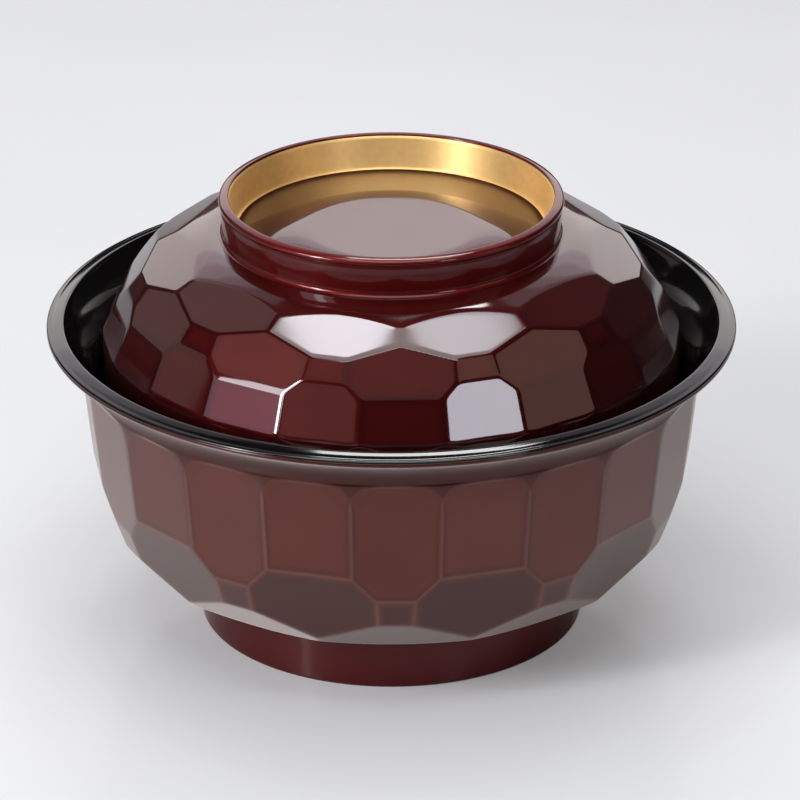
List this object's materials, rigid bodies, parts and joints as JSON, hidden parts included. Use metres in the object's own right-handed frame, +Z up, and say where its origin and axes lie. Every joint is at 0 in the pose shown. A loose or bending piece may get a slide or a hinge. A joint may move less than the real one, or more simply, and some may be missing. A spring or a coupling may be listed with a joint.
{
  "type": "lidded donburi bowl",
  "caption": "Round lidded donburi bowl in maroon lacquer with tortoise-shell facets, a flared black rim, a turned foot ring and a lift-off lid with a gold-lined ring knob.",
  "frame": {"origin": "middle of the foot ring, on the plane that the bowl stands on", "axes": "+Z up along the axis that the bowl and the lid are turned about; -Y towards the viewer of the picture"},
  "size_m": [0.1516, 0.1514, 0.0992],
  "materials": {
    "maroon_lacquer_bowl": "polished brown-maroon lacquer over a moulded core",
    "maroon_lacquer_lid": "polished maroon lacquer over a moulded core",
    "maroon_lacquer_ring": "polished red-maroon lacquer on a turned ring",
    "black_lacquer": "polished black lacquer",
    "gold_lacquer": "satin gold lacquer"
  },
  "bodies": {
    "bowl": {"bowl_shell": "maroon_lacquer_bowl", "bowl_lining": "black_lacquer", "bowl_foot_ring": "maroon_lacquer_ring"},
    "lid": {"lid_shell": "maroon_lacquer_lid", "lid_lining": "black_lacquer", "lid_knob_ring": "maroon_lacquer_ring", "lid_knob_gold_band": "gold_lacquer"}
  },
  "joints": [
    {"name": "lid_lift", "type": "slide", "parent": "bowl", "child": "lid", "axis": [0, 0, 1], "range_m": [0, 0.12]}
  ]
}
